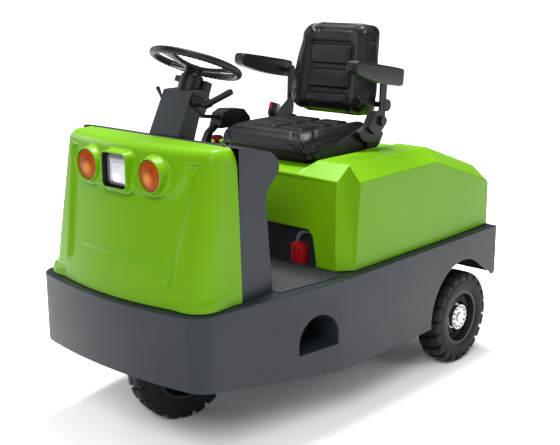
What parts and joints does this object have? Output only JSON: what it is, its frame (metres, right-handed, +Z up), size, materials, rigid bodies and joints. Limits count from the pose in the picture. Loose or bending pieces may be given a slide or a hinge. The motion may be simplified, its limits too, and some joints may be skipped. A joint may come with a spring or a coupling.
{
  "type": "three-wheeled electric baggage tug",
  "caption": "Seated electric tow tractor with one steered front wheel, plate skirt, moulded front hood, tilting rear body with seat, and a rear tow jaw.",
  "frame": {"origin": "on the ground, on the centre plane, at mid-length from the skirt's front to the tow jaw's end", "axes": "+Z up, -Y is the way the vehicle faces, +X is the vehicle's left"},
  "size_m": [1.0724, 1.992, 1.5104],
  "materials": {
    "graphite_paint": "satin",
    "green_paint": "gloss",
    "black_steel": "satin",
    "tyre_rubber": "matt",
    "mat_rubber": "matt",
    "seal_rubber": "matt",
    "bare_steel": "machined",
    "cast_iron": "cast",
    "black_plastic": "grained",
    "black_vinyl": "grained",
    "amber_lens": "gloss",
    "clear_lens": "gloss",
    "red_lens": "gloss",
    "red_plastic": "gloss",
    "battery_case": "matt"
  },
  "bodies": {
    "chassis": {"skirt": "graphite_paint", "step_boxes": "graphite_paint", "deck_plate": "graphite_paint", "floor_mat": "mat_rubber", "chassis_frame": "black_steel", "steer_head": "black_steel", "drive_axle": "cast_iron", "traction_motor": "black_steel", "battery_tray": "graphite_paint", "battery_block": "battery_case", "battery_connector": "red_plastic", "tow_coupler": "cast_iron", "tail_lamps": "red_lens", "front_hood": "green_paint", "turn_lamps": "amber_lens", "headlamp": "clear_lens", "dash_cowl": "graphite_paint", "column_cover": "graphite_paint", "column_rear": "black_plastic", "column_collar": "black_plastic", "column_levers": "black_plastic", "pedals": "black_steel", "seals": "seal_rubber", "hinge_fixed": "bare_steel"},
    "steer_fork": {"steer_fork": "black_steel"},
    "front_wheel": {"front_rim": "black_steel", "front_tyre": "tyre_rubber"},
    "rear_wheel_left": {"rear_tyre_left": "tyre_rubber", "rear_rim_left": "black_steel", "rear_hub_left": "bare_steel"},
    "rear_wheel_right": {"rear_tyre_right": "tyre_rubber", "rear_rim_right": "black_steel", "rear_hub_right": "bare_steel"},
    "steering_wheel": {"steering_wheel": "black_plastic", "steering_shaft": "bare_steel"},
    "rear_hood": {"rear_hood": "green_paint", "hinge_moving": "bare_steel", "seat_base": "black_steel", "seat_pan": "black_plastic", "seat_cushion": "black_vinyl", "seat_back": "black_vinyl", "back_shell": "black_plastic", "recliner_left": "black_steel", "recliner_right": "black_steel", "belt_buckle": "black_plastic", "side_console": "black_plastic", "stop_button": "red_plastic"},
    "armrest_left": {"armrest_left": "black_plastic"},
    "armrest_right": {"armrest_right": "black_plastic"}
  },
  "joints": [
    {"name": "steer", "type": "hinge", "parent": "chassis", "child": "steer_fork", "pos_m": [0, -0.627, 0.45], "axis": [0, 0, 1], "range_deg": [-60, 90]},
    {"name": "front_wheel_spin", "type": "hinge", "parent": "steer_fork", "child": "front_wheel", "pos_m": [0, -0.627, 0.2075], "axis": [0.9659, -0.2588, 0], "continuous": true},
    {"name": "rear_wheel_left_spin", "type": "hinge", "parent": "chassis", "child": "rear_wheel_left", "pos_m": [0.481, 0.597, 0.2075], "axis": [1, 0, 0], "continuous": true},
    {"name": "rear_wheel_right_spin", "type": "hinge", "parent": "chassis", "child": "rear_wheel_right", "pos_m": [-0.481, 0.597, 0.2075], "axis": [1, 0, 0], "continuous": true},
    {"name": "steering_wheel_turn", "type": "hinge", "parent": "chassis", "child": "steering_wheel", "pos_m": [0, -0.5, 1.383], "axis": [0, 0.3746, 0.9272], "range_deg": [-360, 540]},
    {"name": "rear_hood_lift", "type": "hinge", "parent": "chassis", "child": "rear_hood", "pos_m": [0, 0.884, 0.602], "axis": [-1, 0, 0], "range_deg": [0, 55]},
    {"name": "armrest_left_lift", "type": "hinge", "parent": "rear_hood", "child": "armrest_left", "pos_m": [0.312, 0.345, 1.28], "axis": [-1, 0, 0], "range_deg": [0, 95]},
    {"name": "armrest_right_lift", "type": "hinge", "parent": "rear_hood", "child": "armrest_right", "pos_m": [-0.312, 0.345, 1.28], "axis": [-1, 0, 0], "range_deg": [0, 95]}
  ],
  "couplings": [
    {"joint": "steering_wheel_turn", "follows": "steer", "ratio": 6}
  ]
}
